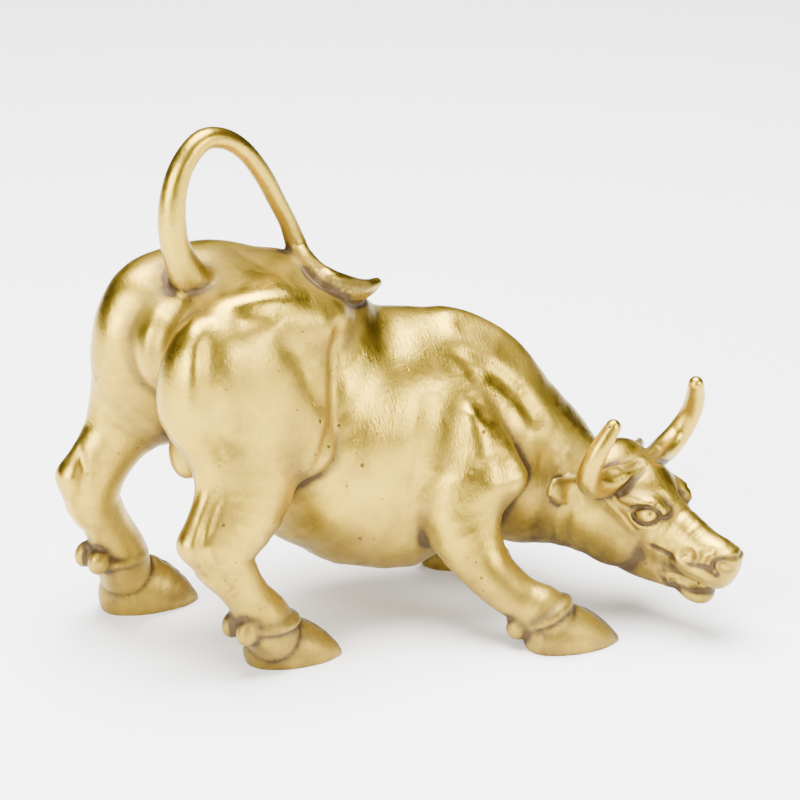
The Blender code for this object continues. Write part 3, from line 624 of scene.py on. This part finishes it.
HIND_RIGHT = (
    (-1, 9.5, 42, 6.5, 11),
    (-4.8, 12.6, 28.6, 5.4, 7.4),
    (-10.4, 13.6, 21.5, 4.0, 5.3),
    (-8.6, 14.2, 16.8, 3.4, 4.0),
    (-6.4, 14.8, 12.8, 3.3, 3.6),
    (-4.2, 15.3, 8.8, 4.0, 4.5),
    (-2.6, 15.6, 5.6, 4.1, 4.1),
)
HIND_LEFT = (
    (-3.5, 9.5, 43, 6.5, 9.5),
    (-12.8, 12.0, 31.5, 4.4, 5.0),
    (-16.2, 13.6, 23.8, 4.0, 4.7),
    (-14.1, 14.2, 18.8, 3.6, 3.9),
    (-12.0, 14.8, 14.9, 3.6, 4.0),
    (-10.2, 15.3, 10.8, 4.2, 4.5),
    (-9.2, 15.6, 7.4, 4.2, 4.3),
)
FORE_RIGHT = (
    (-1.8, -12.5, 25.5, 5.2, 7.9),
    (-1.8, -14.8, 18.8, 4.6, 6.2),
    (1.4, -16.4, 13.0, 3.9, 4.4),
    (5.0, -17.8, 9.6, 3.7, 3.9),
    (8.0, -18.5, 7.7, 3.5, 3.7),
    (10.6, -19, 6.2, 4.0, 4.3),
    (12.2, -19.3, 4.8, 3.9, 4.0),
)
FORE_LEFT = (
    (-2, 11.5, 25, 5.2, 7.5),
    (-5, 13, 18, 4.6, 5.6),
    (-4.6, 13.1, 13, 3.9, 4.4),
    (-4.6, 12.9, 10, 3.7, 3.9),
    (-4.6, 12.6, 8, 3.4, 3.6),
    (-4.2, 12.3, 6, 3.9, 4.2),
    (-3.7, 12.1, 4.6, 3.9, 4.0),
)


def model_bull():
    figure = Figure()
    model_torso(figure)
    model_shoulders(figure)
    model_neck(figure)
    model_hind_leg(figure, -1, (-8.5, 46.8), (-15.5, 23.8), (5.6, 34.8), HIND_RIGHT, (-8.7, 8.5))
    model_hind_leg(figure, 1, (-8.8, 49.5), (-19.5, 27.2), (1.5, 38.0), HIND_LEFT, (-15.8, 11.6))
    model_fore_leg(figure, FORE_RIGHT, (6.7, -18.5, 3.9))
    model_fore_leg(figure, FORE_LEFT, (-8.7, 12.2, 3.4))
    model_cuff(figure, "pelvis", (-3.5, -15.5, 8.3), 2)
    model_cuff(figure, "pelvis", (-10.9, 15.4, 10.7), 0)
    model_cuff(figure, "chest", (11.6, -19.2, 6.3), -28, share=0.8)
    model_cuff(figure, "chest", (-4.0, 12.2, 7.0), -15, share=0.8)
    model_hoof(figure, (-35.3, -15.4), -14, 7.3)
    model_hoof(figure, (-46.2, 13.6), -12, 8.9)
    model_hoof(figure, (5.2, -33.0), -14, 7.0)
    model_hoof(figure, (7.3, 3.4), -22, 7.0)
    model_head(figure)
    model_horns(figure)
    model_tail(figure)
    model_scrotum(figure)
    carve_rump(figure)
    carve_hocks(figure)
    carve_shoulders(figure)
    carve_neck(figure)
    return figure


def skin_object(figure, step):
    """Joins an icosphere for every bead of clay, and remeshes them into one closed skin."""
    egg = bmesh.new()
    bmesh.ops.create_icosphere(egg, subdivisions=3, radius=1)
    round_points = np.array([(*v.co, 1) for v in egg.verts])
    round_faces = np.array([[v.index for v in f.verts] for f in egg.faces])
    egg.free()
    forms = [form for lump in figure.lumps for form in lump.forms if not form.cut]
    beads = [np.array(bead) for form in forms for bead in form.beads()]
    points = np.concatenate([round_points @ bead.T[:, :3] for bead in beads])
    faces = np.concatenate([round_faces + k * len(round_points) for k in range(len(beads))])
    mesh = bpy.data.meshes.new("skin")
    mesh.from_pydata(points.tolist(), [], faces.tolist())
    skin = bpy.data.objects.new("skin", mesh)
    bpy.context.scene.collection.objects.link(skin)
    remesh = skin.modifiers.new("Remesh", "REMESH")
    remesh.mode = "VOXEL"
    remesh.voxel_size = step
    return skin


def applied_mesh(obj):
    graph = bpy.context.evaluated_depsgraph_get()
    mesh = bpy.data.meshes.new_from_object(obj.evaluated_get(graph))
    bpy.data.objects.remove(obj)
    return mesh


def keep_outer_shell(shape):
    """Keeps the largest connected skin, without the small hollows left between beads or in a sole."""
    unseen = set(shape.verts)
    shells = []
    while unseen:
        shell = {unseen.pop()}
        border = list(shell)
        while border:
            near = {edge.other_vert(v) for v in border for edge in v.link_edges}
            border = near & unseen
            unseen -= border
            shell |= border
        shells.append(shell)
    largest = max(shells, key=len)
    bmesh.ops.delete(shape, geom=[v for v in shape.verts if v not in largest], context="VERTS")


def mesh_points(mesh):
    flat = np.empty(len(mesh.vertices) * 3, np.float32)
    mesh.vertices.foreach_get("co", flat)
    return flat.reshape(-1, 3).astype(float)


def relax(mesh, points, rounds):
    """Evens out the spacing of the points: each moves towards the mean of its neighbours."""
    ends = np.empty(len(mesh.edges) * 2, np.int32)
    mesh.edges.foreach_get("vertices", ends)
    a, b = ends.reshape(-1, 2).T
    count = np.bincount(ends, minlength=len(points))[:, None]
    for _ in range(rounds):
        total = np.zeros_like(points)
        for axis in range(3):
            total[:, axis] += np.bincount(a, points[b, axis], len(points))
            total[:, axis] += np.bincount(b, points[a, axis], len(points))
        points = 0.5 * points + 0.5 * total / count
    return points


def fitted_skin(figure, step):
    mesh = applied_mesh(skin_object(figure, step))
    shape = bmesh.new()
    shape.from_mesh(mesh)
    keep_outer_shell(shape)
    shape.to_mesh(mesh)
    shape.free()
    points = figure.settle(mesh_points(mesh), 3)
    points = figure.settle(relax(mesh, points, 3), 3)
    mesh.vertices.foreach_set("co", points.astype(np.float32).ravel())
    return mesh


def cut_soles(mesh):
    """Cuts the hooves off flat, sets the figure down on the cut and centres its outline on the origin."""
    shape = bmesh.new()
    shape.from_mesh(mesh)
    bmesh.ops.transform(shape, matrix=Matrix.Scale(UNIT, 4), verts=shape.verts)
    everything = shape.verts[:] + shape.edges[:] + shape.faces[:]
    cut = bmesh.ops.bisect_plane(
        shape, geom=everything, plane_co=(0, 0, SOLE_CUT), plane_no=(0, 0, 1), clear_inner=True
    )
    rim = [e for e in cut["geom_cut"] if isinstance(e, bmesh.types.BMEdge)]
    bmesh.ops.holes_fill(shape, edges=rim)
    bmesh.ops.triangulate(shape, faces=shape.faces[:])
    keep_outer_shell(shape)
    xs, ys = [v.co.x for v in shape.verts], [v.co.y for v in shape.verts]
    middle = Vector(((min(xs) + max(xs)) / 2, (min(ys) + max(ys)) / 2, SOLE_CUT))
    bmesh.ops.translate(shape, vec=-middle, verts=shape.verts)
    shape.to_mesh(mesh)
    shape.free()
    return middle


def carve_eye(figure):
    over_eye = [(4.9, 5.8, -1.6), (5.6, 5.5, -0.4), (6.9, 5.2, 0.9), (8.1, 4.5, 1.3), (9.0, 3.9, 0.7)]
    under_eye = [(5.2, 5.7, -1.7), (6.5, 5.3, -2.4), (7.8, 5.3, -2.2), (8.8, 4.8, -1.3), (9.2, 3.9, -0.1)]
    upper_lid = [(4.4, 6.0, -1.2), (5.3, 5.8, 0.2), (6.7, 5.4, 1.6), (8.2, 4.6, 2.0), (9.4, 3.8, 1.3)]
    lower_lid = [(4.9, 5.9, -2.3), (6.4, 5.6, -3.1), (8.1, 5.4, -2.9), (9.3, 4.9, -1.8), (9.9, 3.9, -0.2)]
    behind_eye = [(1.0, 7.0, -1.2), (2.6, 6.3, -2.3), (4.3, 6.0, -2.0), (5.1, 5.8, -1.6)]
    inner_corner = [(6.9, 2.1, 2.2), (8.0, 2.2, 1.9), (9.0, 2.9, 1.9), (9.6, 3.4, 0.9)]
    temple = [(0.2, 7.4, -3.2), (2.8, 6.6, -3.4), (4.8, 6.2, -3.6), (6.5, 5.8, -4.1), (8.2, 5.3, -4.1)]
    carve(figure, "head", over_eye, 0.35, 0.5)
    carve(figure, "head", under_eye, 0.35, 0.5)
    carve(figure, "head", upper_lid, 0.35, -0.35)
    carve(figure, "head", lower_lid, 0.35, -0.3)
    carve(figure, "head", behind_eye, 0.45, 0.6)
    carve(figure, "head", inner_corner, 0.5, 0.3)
    carve(figure, "head", temple, 0.7, 0.6)


def carve_muzzle(figure):
    cheek = [(10.5, 4.6, -4.9), (12.0, 4.3, -4.3), (13.6, 4.0, -3.8), (15.1, 4.3, -3.3), (15.9, 4.4, -3.9)]
    upper_lip = [(17.0, 4.5, -2.4), (18.5, 4.3, -1.0), (20.0, 3.8, -0.1), (21.4, 3.6, 0.2), (22.4, 3.0, -0.2)]
    plate_top = [(19.7, 3.3, 1.2), (21.0, 2.6, 2.6), (21.9, 1.1, 3.1), (22.2, 0.0, 3.1)]
    plate_side = [(19.9, 3.2, 1.4), (21.0, 3.5, 0.6), (22.1, 3.3, 0.2)]
    nostril = [(21.3, 3.2, 1.9), (22.3, 2.4, 1.6), (22.9, 1.2, 1.6)]
    mouth_corner = [(14.6, 3.8, -6.9), (15.4, 3.8, -7.9), (16.9, 3.4, -8.6), (19.0, 3.0, -8.0)]
    lower_lip = [(16.2, 3.6, -7.0), (18.6, 3.2, -6.9), (20.3, 2.7, -6.3), (21.8, 1.2, -5.6)]
    carve(figure, "head", cheek, 0.35, 0.5)
    carve(figure, "head", upper_lip, 0.35, 0.45)
    carve(figure, "head", plate_top, 0.35, 0.4)
    carve(figure, "head", plate_side, 0.35, 0.45)
    carve(figure, "head", nostril, 0.45, 0.7)
    carve(figure, "head", mouth_corner, 0.4, 0.35)
    carve(figure, "head", lower_lip, 0.4, 0.3)
    carve(figure, "head", [(15.6, 3.9, -2.0), (16.4, 3.6, -1.2), (17.2, 3.5, -0.6)], 0.7, 0.6)
    carve(figure, "head", [(17.9, 3.6, 0.3), (18.7, 2.9, 1.4), (19.4, 2.2, 2.2)], 0.6, 0.6)


def carve_poll(figure):
    cap_edge = [(-1.1, 5.6, 1.9), (0.0, 4.7, 2.4), (0.4, 2.8, 2.6), (0.2, 0.8, 2.8)]
    band_edge = [(0.8, 9.6, -0.6), (1.8, 7.6, -0.4), (2.1, 5.4, 0.9), (1.9, 3.3, 2.2), (1.8, 1.0, 2.6)]
    carve(figure, "head", cap_edge, 0.45, 0.45)
    carve(figure, "head", band_edge, 0.45, 0.45)


def carve_tuft(figure):
    """The strands of the tail's brush, which lies over the near side of the rump."""
    for k in (-0.9, 0.0, 0.9):
        strand = [(12.4 + 0.7 * k, -5.5, 60.8 + 0.4 * k), (11.7 + 0.7 * k, -8.5, 60.2 + 0.4 * k)]
        strand += [(11.9 + 0.4 * k, -11.0, 59.4 + 0.8 * k), (14.6, -11.5, 58.2 + 0.9 * k)]
        strand += [(18.4, -10.4, 56.7 + 0.8 * k), (21.6, -9.0, 56.0 + 0.5 * k)]
        carve(figure, "pelvis", strand, 0.35, 0.45, sides=(1,))


def refined(mesh, figure, zones):
    """Halves the spacing of the skin inside the zones, each a centre and a radius, and settles it again."""
    shape = bmesh.new()
    shape.from_mesh(mesh)
    for centre, radius in zones:
        inside = [e for e in shape.edges if (e.verts[0].co - centre).length < radius]
        bmesh.ops.subdivide_edges(shape, edges=inside, cuts=1, use_grid_fill=True)
    shape.to_mesh(mesh)
    shape.free()
    points = figure.settle(relax(mesh, mesh_points(mesh), 2), 3)
    mesh.vertices.foreach_set("co", points.astype(np.float32).ravel())
    return mesh


def rub_out_steps(mesh, reach=4.5, firmness=1.8):
    """Rubs out the two faint steps across the back, where the loin and the withers meet the ribs."""
    front = [(11.6, 2.5, 50), (11.4, 0, 50.1), (11.8, -2.5, 49.9), (12.2, -5, 49.1), (12.4, -7, 47.6)]
    front += [(12.3, -9.3, 46), (12.2, -11.4, 43.7), (12.1, -13.2, 41.4), (11.9, -14.5, 39.6)]
    front += [(11.4, -15.8, 36.7), (10.9, -16.6, 33.8), (10, -17.1, 30.7)]
    rear = [(6.3, 2, 50), (5.8, -0.7, 50), (5.3, -3.3, 49.9), (4.7, -6.1, 49), (3.9, -8.8, 47.6)]
    rear += [(3.1, -10.7, 45.9), (2.3, -12.3, 44.1), (1.5, -13.7, 42.2), (0.8, -14.9, 40.3)]
    ribs = section_frame("ribs")
    points = mesh_points(mesh)
    gaps = [np.linalg.norm(points - np.array(ribs @ Vector(mark)), axis=1) for mark in front + rear]
    share = np.clip(firmness * (1 - np.min(gaps, axis=0) / reach), 0, 1)[:, None]
    rounds = 40
    points += share * (relax(mesh, points, rounds) - points)
    mesh.vertices.foreach_set("co", points.astype(np.float32).ravel())


def keep_values(mesh, name, values):
    layer = mesh.attributes.new(name, "FLOAT", "POINT")
    layer.data.foreach_set("value", np.asarray(values, np.float32))


def measure_shelter(mesh, figure):
    """Marks how sheltered each point is: how much nearer the clay lies than it would over a flat face."""
    normals = np.empty(len(mesh.vertices) * 3, np.float32)
    mesh.vertex_normals.foreach_get("vector", normals)
    normals = normals.reshape(-1, 3).astype(float)
    points = mesh_points(mesh)
    # These marks feed the brass's patina in the creases and its painted shade in the sheltered parts and
    # between the parts
    for name, height in (("crease", 0.7), ("shelter", 3.0), ("hollow", 12.0)):
        found = figure.distance(points + height * normals)
        keep_values(mesh, name, np.clip(1 - found / height, 0, 1))


def bull_piece():
    figure = model_bull()
    carve_eye(figure)
    carve_muzzle(figure)
    carve_poll(figure)
    carve_tuft(figure)
    mesh = fitted_skin(figure, units(SKIN_STEP))
    head = section_frame("head")
    around_eyes, around_muzzle = (head @ Vector((6, 0, -2)), 11), (head @ Vector((18, 0, -2)), 9)
    mesh = refined(mesh, figure, [around_eyes, around_muzzle])
    measure_shelter(mesh, figure)
    rub_out_steps(mesh)
    middle = cut_soles(mesh)
    bull = bpy.data.objects.new("brass_bull", mesh)
    bpy.context.scene.collection.objects.link(bull)
    mesh.shade_smooth()
    return bull, middle


def linear(code):
    """The linear colour of an sRGB hex code."""
    parts = [int(code[i : i + 2], 16) / 255 for i in (1, 3, 5)]
    return (*(c / 12.92 if c <= 0.04045 else ((c + 0.055) / 1.055) ** 2.4 for c in parts), 1.0)


def add(tree, kind, inputs=(), **settings):
    """Adds a node with its settings, and gives each input a value or the output that feeds it."""
    node = tree.nodes.new("ShaderNode" + kind)
    for name, setting in settings.items():
        setattr(node, name, setting)
    for key, value in dict(inputs).items():
        if isinstance(value, bpy.types.NodeSocket):
            tree.links.new(value, node.inputs[key])
        else:
            node.inputs[key].default_value = value
    return node.outputs


def paint_shade_and_grime(tree, place_of, cloud):
    """Patina in the creases, painted shade in the sheltered parts, between the parts and on the feet, and
    grime in uneven patches.
    """
    patchy = {"Vector": place_of, "Scale": 1 / PATCH_WIDTH, "Detail": 5.0, "Roughness": 0.65}
    patch = add(tree, "TexNoise", patchy)["Fac"]
    crease = add(tree, "Attribute", attribute_name="crease")["Fac"]
    shelter = add(tree, "Attribute", attribute_name="shelter")["Fac"]
    hollow = add(tree, "Attribute", attribute_name="hollow")["Fac"]
    # Painted shade with grime on the feet, darker towards the ground
    rise = add(tree, "SeparateXYZ", {"Vector": place_of})["Z"]
    shade_and_grime = add(tree, "MapRange", {"Value": rise, "From Max": FEET_HEIGHT, "To Min": 0.32, "To Max": 0.0})[0]
    # shelter and hollow add painted shade where the clay is sheltered and between the parts, crease adds
    # patina, patch and cloud add uneven grime
    for share, weight in ((shelter, 0.25), (crease, 1.6), (hollow, 0.2), (patch, 0.35), (cloud, 0.45)):
        shade_and_grime = add(tree, "Math", {0: share, 1: weight, 2: shade_and_grime}, operation="MULTIPLY_ADD")[0]
    return shade_and_grime


def casting_pits(tree, place_of, cloud):
    """Small round pits, gathered where the buffing is light."""
    cells = add(tree, "TexVoronoi", {"Vector": place_of, "Scale": 1 / PIT_SPACING})["Distance"]
    gathered = add(tree, "Math", {0: cloud, 1: -0.9, 2: cells}, operation="MULTIPLY_ADD")[0]
    rim = {"Value": gathered, "From Min": -0.46, "From Max": -0.38, "To Min": 0.85, "To Max": 0.0}
    return add(tree, "MapRange", rim)[0]


def fine_relief(tree, place_of, pit):
    """The normals of a surface with grain, brush marks and pits."""
    grainy = {"Vector": place_of, "Scale": 1 / GRAIN_WIDTH, "Detail": 5.0, "Roughness": 0.65}
    grain = add(tree, "TexNoise", grainy)["Fac"]
    along = add(tree, "Mapping", {"Vector": place_of, "Rotation": BRUSH_TURN, "Scale": BRUSH_STRETCH})[0]
    streaky = {"Vector": along, "Scale": 1 / BRUSH_LENGTH, "Detail": 3.0, "Roughness": 0.65}
    brushed = add(tree, "TexNoise", streaky)["Fac"]
    height = add(tree, "Math", {0: brushed, 1: 1.1, 2: grain}, operation="MULTIPLY_ADD")[0]
    height = add(tree, "Math", {0: pit, 1: -2.0, 2: height}, operation="MULTIPLY_ADD")[0]
    return add(tree, "Bump", {"Height": height, "Strength": 0.5, "Distance": RELIEF_HEIGHT})[0]


def cast_brass():
    """Cast brass, buffed to a satin: soft bright swells, and dull brown of patina and grime, with painted
    shade in the sheltered parts, between the parts and on the feet.
    """
    material = bpy.data.materials.new("cast satin brass")
    material.use_nodes = True
    tree = material.node_tree
    shader = tree.nodes["Principled BSDF"]
    place_of = add(tree, "TexCoord")["Object"]
    cloudy = {"Vector": place_of, "Scale": 1 / CLOUD_WIDTH, "Detail": 6.0, "Roughness": 0.65}
    cloud = add(tree, "TexNoise", cloudy)["Fac"]
    shade_and_grime = paint_shade_and_grime(tree, place_of, cloud)
    pit = casting_pits(tree, place_of, cloud)
    # The share of painted shade, patina and grime, which also dulls the metal
    shade_and_grime_share = add(tree, "MapRange", {"Value": shade_and_grime, "From Min": 0.43, "From Max": 0.94})[0]
    colour = linear(BRIGHT_BRASS)
    for share, shade in ((cloud, WORN_BRASS), (shade_and_grime_share, SHADE_AND_GRIME), (pit, PIT_FLOOR)):
        colour = add(tree, "Mix", {0: share, 6: colour, 7: linear(shade)}, data_type="RGBA")[2]
    metallic = add(tree, "MapRange", {"Value": shade_and_grime_share, "To Min": 1.0, "To Max": 0.55})[0]
    satin = {"Value": shade_and_grime, "From Min": 0.15, "From Max": 0.85, "To Min": 0.18, "To Max": 0.52}
    roughness = add(tree, "MapRange", satin)[0]
    tree.links.new(colour, shader.inputs["Base Color"])
    tree.links.new(metallic, shader.inputs["Metallic"])
    tree.links.new(roughness, shader.inputs["Roughness"])
    tree.links.new(fine_relief(tree, place_of, pit), shader.inputs["Normal"])
    return material


def soft_light(name, place_at, aim, size, power):
    lamp = bpy.data.lights.new(name, "AREA")
    lamp.shape = "SQUARE"
    lamp.size = size
    lamp.energy = power
    holder = bpy.data.objects.new(name, lamp)
    bpy.context.scene.collection.objects.link(holder)
    holder.location = place_at
    holder.rotation_mode = "QUATERNION"
    holder.rotation_quaternion = (Vector(aim) - Vector(place_at)).to_track_quat("-Z", "Y")


def studio():
    """A white table under a wide soft light, with a smaller one on the left and one on the right."""
    soft_light("top light", (0.0, 0.05, 0.60), aim=(0, 0, 0), size=0.50, power=23.0)
    soft_light("left light", (-0.42, -0.12, 0.20), aim=(0, 0, 0.04), size=0.30, power=5.0)
    soft_light("right light", (0.22, -0.50, 0.24), aim=(0, 0, 0.03), size=0.26, power=4.5)
    world = bpy.data.worlds.new("studio")
    bpy.context.scene.world = world
    world.use_nodes = True
    background = world.node_tree.nodes["Background"]
    background.inputs["Color"].default_value = linear("#8C8676")
    background.inputs["Strength"].default_value = 0.16
    lay_table()


def lay_table():
    mesh = bpy.data.meshes.new("table")
    half = 6.0
    corners = [(-half, -half, 0), (half, -half, 0), (half, half, 0), (-half, half, 0)]
    mesh.from_pydata(corners, [], [(0, 1, 2, 3)])
    table = bpy.data.objects.new("table", mesh)
    bpy.context.scene.collection.objects.link(table)
    mesh.materials.append(white_paper())


def white_paper():
    """Matt white paper, which gives a soft even ground."""
    paper = bpy.data.materials.new("white paper")
    paper.use_nodes = True
    shader = paper.node_tree.nodes["Principled BSDF"]
    shader.inputs["Base Color"].default_value = linear("#FCFCFC")
    shader.inputs["Roughness"].default_value = 0.9
    return paper


def set_camera(middle):
    """Behind the bull's right side and above it. The aim is given in the clay's own frame."""
    azimuth, elevation = math.radians(CAMERA_AZIMUTH), math.radians(CAMERA_ELEVATION)
    out = math.cos(elevation)
    back = Vector((math.sin(azimuth) * out, -math.cos(azimuth) * out, math.sin(elevation)))
    lens = bpy.data.cameras.new("camera")
    lens.lens = CAMERA_LENS
    camera = bpy.data.objects.new("camera", lens)
    bpy.context.scene.collection.objects.link(camera)
    camera.location = Vector(CAMERA_AIM) - middle + back * CAMERA_DISTANCE
    camera.rotation_mode = "QUATERNION"
    camera.rotation_quaternion = back.to_track_quat("Z", "Y")
    bpy.context.scene.camera = camera


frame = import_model()
bull, middle = bull_piece()
bull.data.materials.append(cast_brass())
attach(bull, "root")
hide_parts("bull")
studio()
set_camera(middle)
